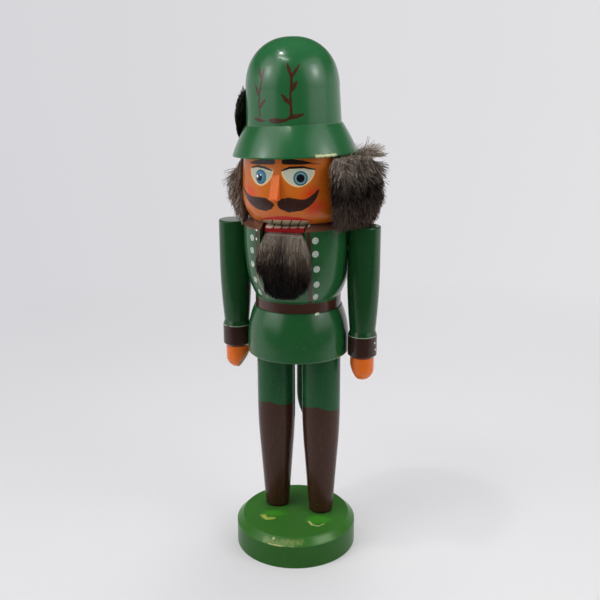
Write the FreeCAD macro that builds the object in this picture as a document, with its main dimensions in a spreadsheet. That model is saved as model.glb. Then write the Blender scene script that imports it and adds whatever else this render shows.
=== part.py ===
import FreeCAD, Part
import math
import os
import Sketcher

# A turned wooden nutcracker figure, in millimetres. The origin is the middle of the foot's underside,
# +Z is up, the figure faces -Y, and its own left is +X.

doc = FreeCAD.newDocument("nutcracker")
sheet = doc.addObject("Spreadsheet::Sheet", "Sizes")

SIZES = {
    # foot
    "base_radius": 42.5,
    "base_height": 21.1,
    "base_chamfer": 4.6,
    # axis of the figure, behind the middle of the foot
    "figure_back": 7.6,
    # legs, with heights above the foot
    "leg_spacing": 33.2,
    "leg_length": 121.7,
    "ankle_radius": 8.6,
    "ankle_round": 1.4,
    "calf_step": 1.5,
    "calf_height": 46.9,
    "leg_radius": 13.35,
    "knee_height": 82.9,
    "tenon_radius": 4.0,
    "tenon_length": 12.0,
    # turned body, stacked upwards from the skirt's hem
    "skirt_length": 32.9,
    "skirt_radius": 34.9,
    "hem_round": 1.2,
    "hem_band": 9.2,
    "skirt_top_step": 4.8,
    "waist_step": 0.8,
    "waist_length": 8.5,
    "chest_step": 1.75,
    "chest_rise": 16.8,
    "chest_round": 50.0,
    "torso_length": 47.7,
    "shoulder_radius": 36.45,
    "shoulder_band": 4.9,
    "collar_rise": 3.4,
    "neck_step": 6.35,
    "cheek_radius": 36.35,
    "cheek_rise": 15.7,
    "cheek_band": 5.0,
    "crown_step": 0.95,
    "head_length": 42.2,
    "seat_allowance": 4.0,
    # slot for the lever
    "slot_width": 30.0,
    "slot_drop": 48.8,
    # hat, in its own tilted frame
    "hat_shift": -1.8,
    "hat_tilt": 1.9,
    "brim_radius": 41.0,
    "brim_edge": 0.9,
    "brim_height": 19.2,
    "brim_top_radius": 31.9,
    "brim_bulge": 118.0,
    "crown_foot_radius": 31.1,
    "crown_taper": 22.0,
    "hat_radius": 30.4,
    "hat_length": 73.5,
    "dome_height": 31.0,
    "dome_side_rise": 13.0,
    "dome_side_step": 2.3,
    "dome_flat": 2.0,
    # dowels and glue joints
    "hat_dowel_radius": 5.0,
    "hat_dowel_length": 24.0,
    "shoulder_dowel_radius": 4.0,
    "shoulder_dowel_length": 20.0,
    "shoulder_dowel_drop": 13.9,
    "glue_gap": 0.1,
    "bore_end_gap": 0.5,
    # arms, hanging down from the shoulder's height
    "arm_radius": 11.0,
    "arm_edge_round": 0.8,
    "arm_seat_depth": 1.9,
    "arm_seat_length": 26.9,
    "arm_seat_runout": 13.0,
    "sleeve_length": 71.3,
    "sleeve_straight": 25.9,
    "wrist_step": 2.25,
    "cuff_flare": 3.4,
    "cuff_radius": 9.9,
    "cuff_length": 13.6,
    "cuff_chamfer": 1.7,
    "hand_radius": 8.1,
    "hand_length": 16.9,
    "hand_cut_rise": 12.4,
    "hand_cut_drop": 1.9,
    # nose, let into the face
    "nose_shift": -2.6,
    "nose_drop": 10.2,
    "nose_length": 15.3,
    "nose_top_width": 5.2,
    "nose_bottom_width": 5.6,
    "nose_inset": 2.4,
    "nose_reach": 6.0,
    "nose_chamfer": 1.2,
    # jaw lever, measured from its pivot
    "slot_clearance": 1.7,
    "mouth_gap": 0.3,
    "pivot_back": 10.0,
    "pivot_drop": 20.3,
    "jaw_reach": 28.5,
    "jaw_chamfer_depth": 3.0,
    "jaw_chamfer_height": 2.1,
    "jaw_drop": 7.5,
    "jaw_round_length": 33.5,
    "trim": 1.0,
    "tongue_drop": 12.0,
    "handle_gap": 1.2,
    "handle_thickness": 11.0,
    "handle_tip_thickness": 10.0,
    "handle_length": 143.7,
    "handle_tip_length": 24.0,
    "handle_top_slope": 25.4,
    "handle_top_round": 16.0,
    "handle_edge_round": 1.5,
    "pin_radius": 2.5,
    "pin_running_gap": 0.08,
    "pin_far_end": 30.0,
    "pin_sink": 0.6,
    # fur
    "fur_gap": 0.3,
    "hair_shift": 6.3,
    "hair_back": 2.0,
    "hair_reach": 53.0,
    "hair_bulge": 9.0,
    "hair_length": 40.6,
    "hair_left_angle": 46.0,
    "hair_right_angle": 78.0,
    "beard_shift": 0.8,
    "beard_top_width": 25.0,
    "beard_width": 37.0,
    "beard_swell_drop": 20.0,
    "beard_length": 43.3,
    "beard_thickness": 8.3,
    "beard_back_gap": 2.7,
    "beard_edge_thickness": 3.5,
    "lip_height": 2.1,
    "beard_root_clearance": 3.0,
    "beard_root_length": 14.0,
    # feather, stuck in the brim
    "feather_length": 32.0,
    "feather_width": 15.0,
    "feather_thickness": 1.8,
    "feather_reach": 37.5,
    "feather_height": 11.5,
    "feather_angle": 90.0,
    "feather_lean_angle": 9.1,
    "quill_radius": 0.8,
    "quill_depth": 7.0,
}
for row, (alias, size) in enumerate(SIZES.items(), start=1):
    sheet.set(f"A{row}", str(size))
    sheet.setAlias(f"A{row}", alias)
doc.recompute()


def bind(expression):
    """Writes each size's name in an expression as a reference to the sheet."""
    words = []
    word = ""
    for letter in expression + " ":
        if letter.isalnum() or letter == "_":
            word += letter
            continue
        words.append(f"Sizes.{word}" if word in SIZES else word)
        words.append(letter)
        word = ""
    return "".join(words).strip()


def value(expression):
    """The number that an expression has with the present sizes."""
    return float(sheet.evalExpression(bind(expression)))


def swell(step, rise):
    """Radius of an arc that leaves a straight line along its tangent and comes in by a step over a rise."""
    return f"(({step})^2 + ({rise})^2) / (2 * ({step}))"


def frame(x="0", y="0", z="0", axis="0; 0; 1", angle="0"):
    """A placement, as an expression. Frames are joined with a star."""
    return f"placement(vector({x}; {y}; {z}); rotation(vector({axis}); {angle}))"


# Heights on the turned body, above the skirt's hem.
BELT_TOP = "(skirt_length + waist_length)"
SHOULDER = f"({BELT_TOP} + torso_length)"
NECK = f"({SHOULDER} + collar_rise)"
HEAD_TOP = f"({NECK} + head_length)"
CHEEK = f"({NECK} + cheek_rise)"

# Places in the whole figure.
HEM = "(base_height + leg_length)"
ARM_REACH = "(shoulder_radius + glue_gap + arm_radius - arm_seat_depth)"
PIVOT_HEIGHT = f"({NECK} - pivot_drop)"
LEVER_TOP = "(pivot_drop - mouth_gap)"
LEVER_WIDTH = "(slot_width - 2 * slot_clearance)"
BODY_FRAME = frame(y="figure_back", z=HEM)
HAT_FRAME = frame("hat_shift", "figure_back", f"{HEM} + {HEAD_TOP}", "0; 1; 0", "-hat_tilt")
PIVOT_FRAME = frame(y="figure_back + pivot_back", z=f"{HEM} + {PIVOT_HEIGHT}")
ALONG_X = frame(axis="0; 1; 0", angle="90")
SIDES = {"left": "", "right": "-"}


def new_body(name, place):
    body = doc.addObject("PartDesign::Body", name)
    body.setExpression("Placement", bind(place))
    return body


def new_sketch(body, name, role, offset="0"):
    """A sketch on one of the body's own planes, moved along the plane's normal."""
    sketch = body.newObject("Sketcher::SketchObject", name)
    plane = [feature for feature in body.Origin.OriginFeatures if feature.Role == role][0]
    sketch.AttachmentSupport = (plane, "")
    sketch.MapMode = "FlatFace"
    sketch.setExpression("AttachmentOffset.Base.z", bind(offset))
    return sketch


def tie(sketch, constraint, expression):
    """Adds a constraint whose size follows an expression."""
    index = sketch.addConstraint(constraint)
    sketch.setExpression(f"Constraints[{index}]", bind(expression))


def place_point(sketch, edge, end, across, up):
    """Holds a point of a sketch at its two distances from the sketch's origin."""
    for kind, axis, distance in (("X", -2, across), ("Y", -1, up)):
        size = value(distance)
        if size == 0:
            sketch.addConstraint(Sketcher.Constraint("PointOnObject", edge, end, axis))
        else:
            tie(sketch, Sketcher.Constraint(f"Distance{kind}", -1, 1, edge, end, size), distance)


def draw_arc(sketch, start, end, radius, turn):
    """Draws an arc and returns its index and the ends that lie at its start and its end. A turn of 1 runs
    counter-clockwise and a turn of -1 clockwise."""
    low, high = (start, end) if turn > 0 else (end, start)
    across, up = high[0] - low[0], high[1] - low[1]
    chord = math.hypot(across, up)
    height = math.sqrt(radius ** 2 - chord ** 2 / 4)
    centre = FreeCAD.Vector((low[0] + high[0]) / 2 - up / chord * height,
                            (low[1] + high[1]) / 2 + across / chord * height, 0)
    from_angle = math.atan2(low[1] - centre.y, low[0] - centre.x)
    to_angle = from_angle + 2 * math.asin(chord / 2 / radius)
    circle = Part.Circle(centre, FreeCAD.Vector(0, 0, 1), radius)
    edge = sketch.addGeometry(Part.ArcOfCircle(circle, from_angle, to_angle), False)
    return (edge, 1, 2) if turn > 0 else (edge, 2, 1)


def draw_outline(sketch, corners):
    """Draws a closed outline. A corner is (across, up), or (across, up, radius, turn) where an arc leads
    from it to the next corner."""
    points = [(value(corner[0]), value(corner[1])) for corner in corners]
    edges = []
    for corner, start, end in zip(corners, points, points[1:] + points[:1]):
        if len(corner) == 2:
            line = Part.LineSegment(FreeCAD.Vector(*start, 0), FreeCAD.Vector(*end, 0))
            edges.append((sketch.addGeometry(line, False), 1, 2))
            continue
        radius = value(corner[2])
        edges.append(draw_arc(sketch, start, end, radius, corner[3]))
        tie(sketch, Sketcher.Constraint("Radius", edges[-1][0], radius), corner[2])
    for corner, (edge, start, end), following in zip(corners, edges, edges[1:] + edges[:1]):
        sketch.addConstraint(Sketcher.Constraint("Coincident", edge, end, following[0], following[1]))
        place_point(sketch, edge, start, corner[0], corner[1])


def turn(body, name, corners, angle="360"):
    """Turns an outline of (radius, height) corners round the body's axis."""
    sketch = new_sketch(body, f"{name}_profile", "XZ_Plane")
    draw_outline(sketch, corners)
    turned = body.newObject("PartDesign::Revolution", name)
    turned.Profile = sketch
    turned.ReferenceAxis = (sketch, ["V_Axis"])
    turned.setExpression("Angle", bind(angle))
    return turned


def pad(body, name, role, corners, length, offset="0", side="One side"):
    sketch = new_sketch(body, f"{name}_outline", role, offset)
    draw_outline(sketch, corners)
    padded = body.newObject("PartDesign::Pad", name)
    padded.Profile = sketch
    padded.SideType = side
    padded.setExpression("Length", bind(length))
    return padded


def pocket(body, name, role, corners, length, offset="0", side="Symmetric", outward=False):
    """Saws an outline out of a body, both ways from the sketch, or one way: into the body behind the
    sketch, or outward in front of it."""
    sketch = new_sketch(body, f"{name}_outline", role, offset)
    draw_outline(sketch, corners)
    sawn = body.newObject("PartDesign::Pocket", name)
    sawn.Profile = sketch
    sawn.SideType = side
    sawn.Reversed = outward
    sawn.setExpression("Length", bind(length))
    return sawn


def round_edges(body, name, radius, chosen):
    """Rounds the chosen edges of a body's last feature."""
    doc.recompute()
    base = body.Tip
    names = [f"Edge{index}" for index, edge in enumerate(base.Shape.Edges, start=1) if chosen(edge.BoundBox)]
    rounded = body.newObject("PartDesign::Fillet", name)
    rounded.Base = (base, names)
    rounded.setExpression("Radius", bind(radius))
    return rounded


def rod(name, radius, length, place):
    """A round rod from its place upwards, for a dowel, a pin or a drill."""
    cylinder = doc.addObject("Part::Cylinder", name)
    cylinder.setExpression("Radius", bind(radius))
    cylinder.setExpression("Height", bind(length))
    cylinder.setExpression("Placement", bind(place))
    return cylinder


def cut(name, blank, tools):
    """Takes tools away from a blank."""
    result = doc.addObject("Part::Cut", name)
    result.Base = blank
    result.Tool = tools[0]
    if len(tools) > 1:
        together = doc.addObject("Part::MultiFuse", f"{name}_tools")
        together.Shapes = tools
        result.Tool = together
    return result


nodes = []

# Legs: turned, slim at the ankle and full at the top, with a tenon at each end.
for side, sign in SIDES.items():
    leg = new_body(f"leg_{side}", frame(f"{sign}leg_spacing / 2", "figure_back", "base_height"))
    turn(leg, f"leg_{side}_turned", [
        ("0", "-tenon_length"),
        ("tenon_radius", "-tenon_length"),
        ("tenon_radius", "0"),
        ("ankle_radius - ankle_round", "0", "ankle_round", 1),
        ("ankle_radius", "ankle_round"),
        ("leg_radius - calf_step", "calf_height", swell("calf_step", "knee_height - calf_height"), 1),
        ("leg_radius", "knee_height"),
        ("leg_radius", "leg_length"),
        ("tenon_radius", "leg_length"),
        ("tenon_radius", "leg_length + tenon_length"),
        ("0", "leg_length + tenon_length"),
    ])
    nodes.append(leg)


def leg_bores(name, start):
    """Blind bores for the two tenons at one end of the legs."""
    return [
        rod(f"{name}_bore_{side}", "tenon_radius + glue_gap", "tenon_length + 2 * bore_end_gap",
            frame(f"{sign}leg_spacing / 2", "figure_back", start))
        for side, sign in SIDES.items()
    ]


# Foot: a turned disc with a chamfered top edge.
foot = new_body("foot_blank", frame())
turn(foot, "foot_turned", [
    ("0", "0"),
    ("base_radius", "0"),
    ("base_radius", "base_height - base_chamfer"),
    ("base_radius - base_chamfer", "base_height"),
    ("0", "base_height"),
])
nodes.append(cut("base_disc", foot, leg_bores("foot", "base_height - tenon_length - bore_end_gap")))

# Body: skirt, waist, torso, collar and head turned from one blank.
WAIST_RADIUS = "(skirt_radius - skirt_top_step - waist_step)"
blank = new_body("body_blank", BODY_FRAME)
turn(blank, "body_turned", [
    ("0", "0"),
    ("skirt_radius - hem_round", "0", "hem_round", 1),
    ("skirt_radius", "hem_round"),
    ("skirt_radius", "hem_band", swell("skirt_top_step", "skirt_length - hem_band"), 1),
    ("skirt_radius - skirt_top_step", "skirt_length"),
    (WAIST_RADIUS, "skirt_length"),
    (WAIST_RADIUS, BELT_TOP, "chest_round", 1),
    ("shoulder_radius - chest_step", f"{BELT_TOP} + chest_rise",
     swell("chest_step", "torso_length - chest_rise - shoulder_band"), 1),
    ("shoulder_radius", f"{SHOULDER} - shoulder_band"),
    ("shoulder_radius", SHOULDER),
    ("cheek_radius - neck_step", NECK, swell("neck_step", "cheek_rise"), 1),
    ("cheek_radius", CHEEK),
    ("cheek_radius", f"{CHEEK} + cheek_band",
     swell("crown_step", "head_length - cheek_rise - cheek_band"), 1),
    ("cheek_radius - crown_step", HEAD_TOP),
    ("cheek_radius - crown_step", f"{HEAD_TOP} + seat_allowance"),
    ("0", f"{HEAD_TOP} + seat_allowance"),
])

# The slot for the lever goes through from front to back, with a round bottom.
SLOT_BOTTOM = f"({NECK} - slot_drop)"
pocket(blank, "slot", "XZ_Plane", [
    ("-slot_width / 2", f"{SLOT_BOTTOM} + slot_width / 2", "slot_width / 2", 1),
    ("0", SLOT_BOTTOM, "slot_width / 2", 1),
    ("slot_width / 2", f"{SLOT_BOTTOM} + slot_width / 2"),
    ("slot_width / 2", NECK),
    ("-slot_width / 2", NECK),
], "4 * skirt_radius")

# The head's end is cut off askew, square to the hat's axis.
SEAT_RUN = "2 * skirt_radius * cos(hat_tilt)"
SEAT_RISE = "2 * skirt_radius * sin(hat_tilt)"
pocket(blank, "hat_seat", "XZ_Plane", [
    (f"hat_shift - {SEAT_RUN}", f"{HEAD_TOP} - {SEAT_RISE}"),
    (f"hat_shift + {SEAT_RUN}", f"{HEAD_TOP} + {SEAT_RISE}"),
    (f"hat_shift + {SEAT_RUN}", f"{HEAD_TOP} + skirt_radius"),
    (f"hat_shift - {SEAT_RUN}", f"{HEAD_TOP} + skirt_radius"),
], "4 * skirt_radius")

# The nose sits in a groove of its own outline, a glue gap wider all round.
NOSE_TOP = f"({HEAD_TOP} - nose_drop)"
NOSE_BOTTOM = f"({NOSE_TOP} - nose_length)"
NOSE_FLOOR = "(cheek_radius - nose_inset)"


def nose_outline(gap):
    return [
        (f"nose_shift - nose_bottom_width / 2 - {gap}", f"{NOSE_BOTTOM} - {gap}"),
        (f"nose_shift + nose_bottom_width / 2 + {gap}", f"{NOSE_BOTTOM} - {gap}"),
        (f"nose_shift + nose_top_width / 2 + {gap}", f"{NOSE_TOP} + {gap}"),
        (f"nose_shift - nose_top_width / 2 - {gap}", f"{NOSE_TOP} + {gap}"),
    ]


pocket(blank, "nose_groove", "XZ_Plane", nose_outline("glue_gap"), "2 * nose_inset",
       NOSE_FLOOR, "One side", True)

# Nose: a wedge that stands out furthest at the bottom.
nose = new_body("nose_peg", BODY_FRAME)
pad(nose, "nose_block", "XZ_Plane", nose_outline("0"), "nose_inset + nose_reach", NOSE_FLOOR)
pocket(nose, "nose_slope", "YZ_Plane", [
    ("-cheek_radius", f"{NOSE_TOP} + trim"),
    ("-cheek_radius", NOSE_TOP),
    ("-cheek_radius - nose_reach", f"{NOSE_BOTTOM} + nose_chamfer"),
    ("nose_chamfer - cheek_radius - nose_reach", NOSE_BOTTOM),
    ("nose_chamfer - cheek_radius - nose_reach", f"{NOSE_BOTTOM} - trim"),
    ("-cheek_radius - nose_reach - trim", f"{NOSE_BOTTOM} - trim"),
    ("-cheek_radius - nose_reach - trim", f"{NOSE_TOP} + trim"),
], "4 * nose_bottom_width")
nodes.append(nose)

# Hat: a sloping brim, a small step, and a crown with a domed top. It is turned upright and sits askew.
hat_blank = new_body("hat_blank", HAT_FRAME)
turn(hat_blank, "hat_turned", [
    ("0", "0"),
    ("brim_radius", "0"),
    ("brim_radius", "brim_edge", "brim_bulge", 1),
    ("brim_top_radius", "brim_height"),
    ("crown_foot_radius", "brim_height"),
    ("hat_radius", "brim_height + crown_taper"),
    ("hat_radius", "hat_length - dome_height", swell("dome_side_step", "dome_side_rise"), 1),
    ("hat_radius - dome_side_step", "hat_length - dome_height + dome_side_rise",
     swell("dome_height - dome_side_rise", "hat_radius - dome_side_step - dome_flat"), 1),
    ("dome_flat", "hat_length"),
    ("0", "hat_length"),
])

# Dowel between head and hat, on the hat's axis.
DOWEL_START = f"{HAT_FRAME} * {frame(z='-hat_dowel_length / 2')}"
HAT_BORE_START = f"{HAT_FRAME} * {frame(z='-hat_dowel_length / 2 - bore_end_gap')}"
nodes.append(rod("hat_dowel", "hat_dowel_radius", "hat_dowel_length", DOWEL_START))
hat_bores = [
    rod(f"{name}_bore_for_hat_dowel", "hat_dowel_radius + glue_gap",
        "hat_dowel_length + 2 * bore_end_gap", HAT_BORE_START)
    for name in ("head", "hat")
]

# Feather: a thin leaf on a quill that is stuck in the sloping brim.
FEATHER_FRAME = " * ".join([
    HAT_FRAME,
    frame(angle="270 - feather_angle"),
    frame(x="feather_reach", z="feather_height", axis="0; 1; 0", angle="feather_lean_angle"),
])
feather = new_body("feather", FEATHER_FRAME)
LEAF_ROUND = swell("feather_width / 2", "feather_length / 2")
turn(feather, "quill", [
    ("0", "-quill_depth"),
    ("quill_radius", "-quill_depth"),
    ("quill_radius", "feather_length / 2"),
    ("0", "feather_length / 2"),
])
pad(feather, "leaf", "YZ_Plane", [
    ("0", "0", LEAF_ROUND, 1),
    ("feather_width / 2", "feather_length / 2", LEAF_ROUND, 1),
    ("0", "feather_length", LEAF_ROUND, 1),
    ("-feather_width / 2", "feather_length / 2", LEAF_ROUND, 1),
], "feather_thickness", side="Symmetric")
nodes.append(feather)
quill_bore = rod("quill_bore", "quill_radius + glue_gap", "3 * quill_depth",
                 f"{FEATHER_FRAME} * {frame(z='-quill_depth - bore_end_gap')}")
nodes.append(cut("hat", hat_blank, [hat_bores[1], quill_bore]))

# Arms: sleeve, wrist, cuff and hand turned in one, with a flat where the shoulder is glued on and a slanting
# saw cut through the hand. Heights run down from the top of the arm.
CUFF_TOP = "(-sleeve_length - cuff_flare)"
CUFF_BOTTOM = f"({CUFF_TOP} - cuff_length)"
HAND_TOP = f"({CUFF_BOTTOM} - cuff_chamfer)"
HAND_END = f"({HAND_TOP} - hand_length)"
SEAT_PLANE = "(arm_radius - arm_seat_depth)"
SHOULDER_HEIGHT = f"({HEM} + {SHOULDER})"
DOWEL_HEIGHT = f"({SHOULDER_HEIGHT} - shoulder_dowel_drop)"
DOWEL_MIDDLE = "(shoulder_radius + glue_gap / 2)"
shoulder_bores = []
for side, sign in SIDES.items():
    inward = "-" if sign == "" else ""
    arm = new_body(f"arm_blank_{side}", frame(f"{sign}{ARM_REACH}", "figure_back", SHOULDER_HEIGHT))
    turn(arm, f"arm_turned_{side}", [
        ("0", HAND_END, "hand_radius", 1),
        ("hand_radius", f"{HAND_END} + hand_radius"),
        ("hand_radius", HAND_TOP),
        ("cuff_radius - cuff_chamfer", HAND_TOP),
        ("cuff_radius", CUFF_BOTTOM),
        ("cuff_radius", CUFF_TOP),
        ("arm_radius - wrist_step", "-sleeve_length",
         swell("wrist_step", "sleeve_length - sleeve_straight"), 1),
        ("arm_radius", "-sleeve_straight"),
        ("arm_radius", "-arm_edge_round", "arm_edge_round", 1),
        ("arm_radius - arm_edge_round", "0"),
        ("0", "0"),
    ])
    pocket(arm, f"arm_seat_{side}", "XZ_Plane", [
        (f"{inward}{SEAT_PLANE}", "trim"),
        (f"{inward}{SEAT_PLANE}", "-arm_seat_length"),
        (f"{inward}arm_radius", "-arm_seat_length - arm_seat_runout"),
        (f"{inward}(arm_radius + trim)", "-arm_seat_length - arm_seat_runout"),
        (f"{inward}(arm_radius + trim)", "trim"),
    ], "4 * arm_radius")
    pocket(arm, f"hand_cut_{side}", "XZ_Plane", [
        (f"{inward}hand_radius", f"{HAND_END} + hand_cut_rise"),
        ("0", f"{HAND_END} - hand_cut_drop"),
        (f"{inward}(hand_radius + trim)", f"{HAND_END} - hand_cut_drop"),
        (f"{inward}(hand_radius + trim)", f"{HAND_END} + hand_cut_rise"),
    ], "4 * arm_radius")
    middle = frame(f"{sign}{DOWEL_MIDDLE}", "figure_back", DOWEL_HEIGHT)
    nodes.append(rod(f"shoulder_dowel_{side}", "shoulder_dowel_radius", "shoulder_dowel_length",
                     f"{middle} * {ALONG_X} * {frame(z='-shoulder_dowel_length / 2')}"))
    bores = [
        rod(f"{name}_bore_{side}", "shoulder_dowel_radius + glue_gap",
            "shoulder_dowel_length + 2 * bore_end_gap",
            f"{middle} * {ALONG_X} * {frame(z='-shoulder_dowel_length / 2 - bore_end_gap')}")
        for name in ("arm", "torso")
    ]
    nodes.append(cut(f"arm_{side}", arm, bores[:1]))
    shoulder_bores.append(bores[1])

# Pivot pin: pressed in from the figure's left, where the arm covers its end.
PIN_LENGTH = "(pin_far_end + sqrt(shoulder_radius^2 - pivot_back^2) - pin_sink)"
PIN_START = f"{PIVOT_FRAME} * {ALONG_X} * {frame(z='-pin_far_end')}"
nodes.append(rod("pivot_pin", "pin_radius", PIN_LENGTH, PIN_START))
pin_bore = rod("pin_bore", "pin_radius", f"{PIN_LENGTH} + skirt_radius", PIN_START)
nodes.append(cut("body", blank, [
    *leg_bores("skirt", f"{HEM} - bore_end_gap"),
    *shoulder_bores,
    hat_bores[0],
    pin_bore,
]))

# Jaw lever: sawn from one board in side view, with the jaw in front and the handle hanging down behind.
JAW_FRONT = "(-jaw_reach - pivot_back)"
HANDLE_FRONT = "(skirt_radius + handle_gap - pivot_back)"
HANDLE_BACK = f"({HANDLE_FRONT} + handle_thickness)"
SLOPE_START = f"({HANDLE_BACK} - handle_top_round * (1 - sin(handle_top_slope)))"
SLOPE_HEIGHT = f"({LEVER_TOP} - {SLOPE_START} * tan(handle_top_slope))"
lever = new_body("lever_blank", PIVOT_FRAME)
pad(lever, "lever_board", "YZ_Plane", [
    (JAW_FRONT, "-jaw_drop - trim"),
    (f"{JAW_FRONT} + jaw_round_length", "-jaw_drop - trim"),
    (HANDLE_FRONT, "-tongue_drop"),
    (HANDLE_FRONT, "-handle_length - trim"),
    (f"{HANDLE_FRONT} + handle_tip_thickness", "-handle_length - trim"),
    (HANDLE_BACK, f"{SLOPE_HEIGHT} - handle_top_round * cos(handle_top_slope)", "handle_top_round", 1),
    (SLOPE_START, SLOPE_HEIGHT),
    ("0", LEVER_TOP),
    (f"{JAW_FRONT} + jaw_chamfer_depth", LEVER_TOP),
    (JAW_FRONT, f"{LEVER_TOP} - jaw_chamfer_height"),
], LEVER_WIDTH, side="Symmetric")

# The jaw's underside is rounded like the slot's bottom.
HALF_WIDTH = f"({LEVER_WIDTH} / 2)"
pocket(lever, "jaw_round", "XZ_Plane", [
    (f"-{HALF_WIDTH} - trim", "-jaw_drop - 2 * trim"),
    (f"{HALF_WIDTH} + trim", "-jaw_drop - 2 * trim"),
    (f"{HALF_WIDTH} + trim", f"{HALF_WIDTH} - jaw_drop"),
    (HALF_WIDTH, f"{HALF_WIDTH} - jaw_drop", HALF_WIDTH, -1),
    ("0", "-jaw_drop", HALF_WIDTH, -1),
    (f"-{HALF_WIDTH}", f"{HALF_WIDTH} - jaw_drop"),
    (f"-{HALF_WIDTH} - trim", f"{HALF_WIDTH} - jaw_drop"),
], "jaw_round_length + trim", f"trim - {JAW_FRONT}", "One side")

# The handle's tip is an oval of a wide arc on each side and a small one below, which meet at 30 degrees.
TIP_ROUND = f"(({HALF_WIDTH} - 2 * handle_tip_length * (1 - cos(30))) / (2 * cos(30) - 1))"
TIP_SIDE_ROUND = f"(2 * handle_tip_length - {TIP_ROUND})"
TIP_SPRING = "(handle_tip_length - handle_length)"
pocket(lever, "handle_tip", "XZ_Plane", [
    (f"-{HALF_WIDTH} - trim", "-handle_length - 2 * trim"),
    (f"{HALF_WIDTH} + trim", "-handle_length - 2 * trim"),
    (f"{HALF_WIDTH} + trim", TIP_SPRING),
    (HALF_WIDTH, TIP_SPRING, TIP_SIDE_ROUND, -1),
    (f"{TIP_ROUND} * cos(30)", f"{TIP_ROUND} / 2 - handle_length", TIP_ROUND, -1),
    ("0", "-handle_length", TIP_ROUND, -1),
    (f"-{TIP_ROUND} * cos(30)", f"{TIP_ROUND} / 2 - handle_length", TIP_SIDE_ROUND, -1),
    (f"-{HALF_WIDTH}", TIP_SPRING),
    (f"-{HALF_WIDTH} - trim", TIP_SPRING),
], f"4 * {HANDLE_BACK}")
round_edges(lever, "handle_edges", "handle_edge_round",
            lambda box: box.YMin > value(HANDLE_FRONT) - 0.01 and box.ZLength > value("trim"))
pin_drill = rod("lever_pin_bore", "pin_radius + pin_running_gap", f"2 * {LEVER_WIDTH}",
                f"{PIVOT_FRAME} * {ALONG_X} * {frame(z=f'-{LEVER_WIDTH}')}")
nodes.append(cut("jaw_lever", lever, [pin_drill]))

# Beard: fur glued to the front of the jaw, with a root inside the slot. Its frame is the glue line's.
BEARD_FRAME = frame("beard_shift", "figure_back - jaw_reach",
                    f"{HEM} + {PIVOT_HEIGHT} + {LEVER_TOP} - jaw_chamfer_height - lip_height")
BEARD_BACK = "(shoulder_radius - beard_back_gap - jaw_reach)"
beard = new_body("beard_fur", BEARD_FRAME)
BEARD_TOP_ROUND = swell("(beard_width - beard_top_width) / 2", "beard_swell_drop")
BEARD_TIP_ROUND = swell("beard_width / 2", "beard_length - beard_swell_drop")
pad(beard, "beard_front", "XZ_Plane", [
    ("0", "-beard_length", BEARD_TIP_ROUND, 1),
    ("beard_width / 2", "-beard_swell_drop", BEARD_TOP_ROUND, 1),
    ("beard_top_width / 2", "0"),
    ("-beard_top_width / 2", "0", BEARD_TOP_ROUND, 1),
    ("-beard_width / 2", "-beard_swell_drop", BEARD_TIP_ROUND, 1),
], "beard_thickness + trim", BEARD_BACK)
BEARD_FRONT = f"({BEARD_BACK} + beard_thickness)"
BEARD_EDGE = f"({BEARD_BACK} + beard_edge_thickness)"
pocket(beard, "beard_profile", "YZ_Plane", [
    (f"-{BEARD_EDGE}", "trim"),
    (f"-{BEARD_EDGE}", "0", swell("beard_thickness - beard_edge_thickness", "beard_swell_drop"), 1),
    (f"-{BEARD_FRONT}", "-beard_swell_drop",
     swell("beard_thickness - beard_edge_thickness", "beard_length - beard_swell_drop"), 1),
    (f"-{BEARD_EDGE}", "-beard_length"),
    (f"-{BEARD_EDGE}", "-beard_length - trim"),
    (f"-{BEARD_FRONT} - 2 * trim", "-beard_length - trim"),
    (f"-{BEARD_FRONT} - 2 * trim", "trim"),
], "2 * beard_width")
ROOT_HALF = "(slot_width / 2 - beard_root_clearance)"
pad(beard, "beard_root", "XZ_Plane", [
    (f"-{ROOT_HALF} - beard_shift", "-beard_root_length"),
    (f"{ROOT_HALF} - beard_shift", "-beard_root_length"),
    (f"{ROOT_HALF} - beard_shift", "0"),
    (f"-{ROOT_HALF} - beard_shift", "0"),
], f"{BEARD_BACK} + trim - fur_gap", "fur_gap")
nodes.append(beard)

# Hair: a strip of fur round the sides and the back of the head, close under the brim.
HAIR_FRAME = f"{HAT_FRAME} * {frame('hair_shift', 'hair_back', angle='hair_left_angle - 90')}"
hair = new_body("hair_blank", HAIR_FRAME)
HAIR_EDGE = "(hair_reach - hair_bulge)"
HAIR_ROUND = swell("hair_bulge", "(hair_length - fur_gap) / 2")
turn(hair, "hair_ring", [
    ("cheek_radius - neck_step", "-hair_length"),
    (HAIR_EDGE, "-hair_length", HAIR_ROUND, 1),
    ("hair_reach", "-(hair_length + fur_gap) / 2", HAIR_ROUND, 1),
    (HAIR_EDGE, "-fur_gap"),
    ("cheek_radius - neck_step", "-fur_gap"),
], "360 - hair_left_angle - hair_right_angle")
head_tool = rod("head_tool", "cheek_radius + fur_gap", "2 * head_length",
                frame(y="figure_back", z=f"{HEM} + {SHOULDER}"))
nodes.append(cut("hair_fur", hair, [head_tool]))

doc.recompute()
for item in doc.Objects:
    if "Invalid" in item.State or "Error" in item.State:
        raise RuntimeError(f"{item.Label} has failed: {item.State}")
os.makedirs("parts", exist_ok=True)
for node in nodes:
    if node.Shape.isNull() or not node.Shape.isValid():
        raise RuntimeError(f"{node.Label} has no valid shape")
    node.Shape.exportStep(f"parts/{node.Label}.step")
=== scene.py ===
import math

import bmesh
import bpy
from mathutils import Matrix, Vector, noise


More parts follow.
